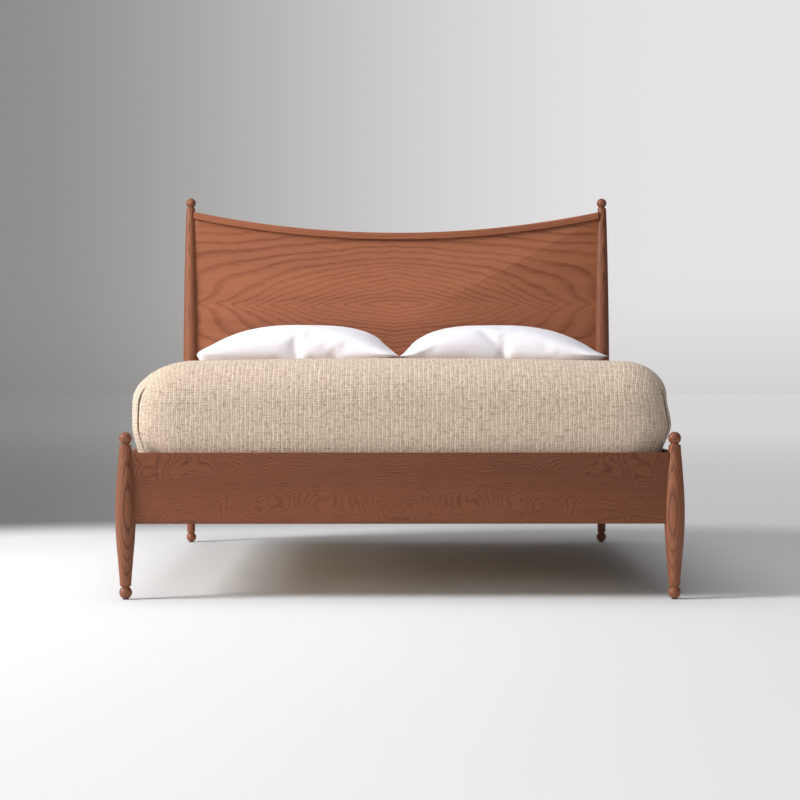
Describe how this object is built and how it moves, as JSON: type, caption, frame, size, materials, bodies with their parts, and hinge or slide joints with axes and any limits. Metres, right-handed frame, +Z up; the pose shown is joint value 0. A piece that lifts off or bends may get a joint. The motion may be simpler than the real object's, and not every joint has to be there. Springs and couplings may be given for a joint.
{
  "type": "bed",
  "caption": "Low turned-post bed with an arched flat headboard, plank footboard and slatted base, dressed with a mattress, tucked coverlet and pillows.",
  "frame": {"origin": "on the floor under the middle of the bed", "axes": "+Z up, +Y towards the head end, +X to the right of a person standing at the foot end and facing the headboard"},
  "size_m": [1.618, 2.138, 1.306],
  "materials": {
    "headboard_wood": "satin",
    "footboard_wood": "satin",
    "turned_wood": "satin",
    "slat_wood": "matte",
    "dark_steel": "satin",
    "glide_plastic": "matte",
    "webbing": "matte",
    "ticking": "matte",
    "coverlet_fabric": "matte",
    "pillowcase_fabric": "matte"
  },
  "bodies": {
    "bedstead": {"beam_hanger_foot": "dark_steel", "beam_hanger_head": "dark_steel", "bracket_bolt_foot_left_lower": "dark_steel", "bracket_bolt_foot_left_upper": "dark_steel", "bracket_bolt_foot_right_lower": "dark_steel", "bracket_bolt_foot_right_upper": "dark_steel", "bracket_bolt_head_left_lower": "dark_steel", "bracket_bolt_head_left_upper": "dark_steel", "bracket_bolt_head_right_lower": "dark_steel", "bracket_bolt_head_right_upper": "dark_steel", "centre_beam": "slat_wood", "corner_bracket_foot_left": "dark_steel", "corner_bracket_foot_right": "dark_steel", "corner_bracket_head_left": "dark_steel", "corner_bracket_head_right": "dark_steel", "foot_ball_foot_left": "turned_wood", "foot_ball_foot_right": "turned_wood", "foot_finial_left": "turned_wood", "foot_finial_right": "turned_wood", "foot_glide_left": "glide_plastic", "foot_glide_right": "glide_plastic", "foot_post_left": "turned_wood", "foot_post_right": "turned_wood", "footboard_panel": "footboard_wood", "head_ball_foot_left": "turned_wood", "head_ball_foot_right": "turned_wood", "head_finial_left": "turned_wood", "head_finial_right": "turned_wood", "head_glide_left": "glide_plastic", "head_glide_right": "glide_plastic", "head_post_left": "turned_wood", "head_post_right": "turned_wood", "headboard_bottom_rail": "footboard_wood", "headboard_cap_rail": "headboard_wood", "headboard_panel": "headboard_wood", "side_rail_left": "footboard_wood", "side_rail_right": "footboard_wood", "slat_01": "slat_wood", "slat_02": "slat_wood", "slat_03": "slat_wood", "slat_04": "slat_wood", "slat_05": "slat_wood", "slat_06": "slat_wood", "slat_07": "slat_wood", "slat_08": "slat_wood", "slat_09": "slat_wood", "slat_10": "slat_wood", "slat_11": "slat_wood", "slat_12": "slat_wood", "slat_13": "slat_wood", "slat_ledger_left": "slat_wood", "slat_ledger_right": "slat_wood", "slat_tape_left": "webbing", "slat_tape_right": "webbing"},
    "mattress_and_coverlet": {"mattress": "ticking", "coverlet": "coverlet_fabric"},
    "left_pillow": {"pillow_left": "pillowcase_fabric"},
    "right_pillow": {"pillow_right": "pillowcase_fabric"}
  },
  "joints": [
    {"name": "mattress_lift", "type": "slide", "parent": "bedstead", "child": "mattress_and_coverlet", "axis": [0, 0, 1], "range_m": [0, 0.3]},
    {"name": "left_pillow_lift", "type": "slide", "parent": "mattress_and_coverlet", "child": "left_pillow", "axis": [0, 0, 1], "range_m": [0, 0.25]},
    {"name": "right_pillow_lift", "type": "slide", "parent": "mattress_and_coverlet", "child": "right_pillow", "axis": [0, 0, 1], "range_m": [0, 0.25]}
  ]
}
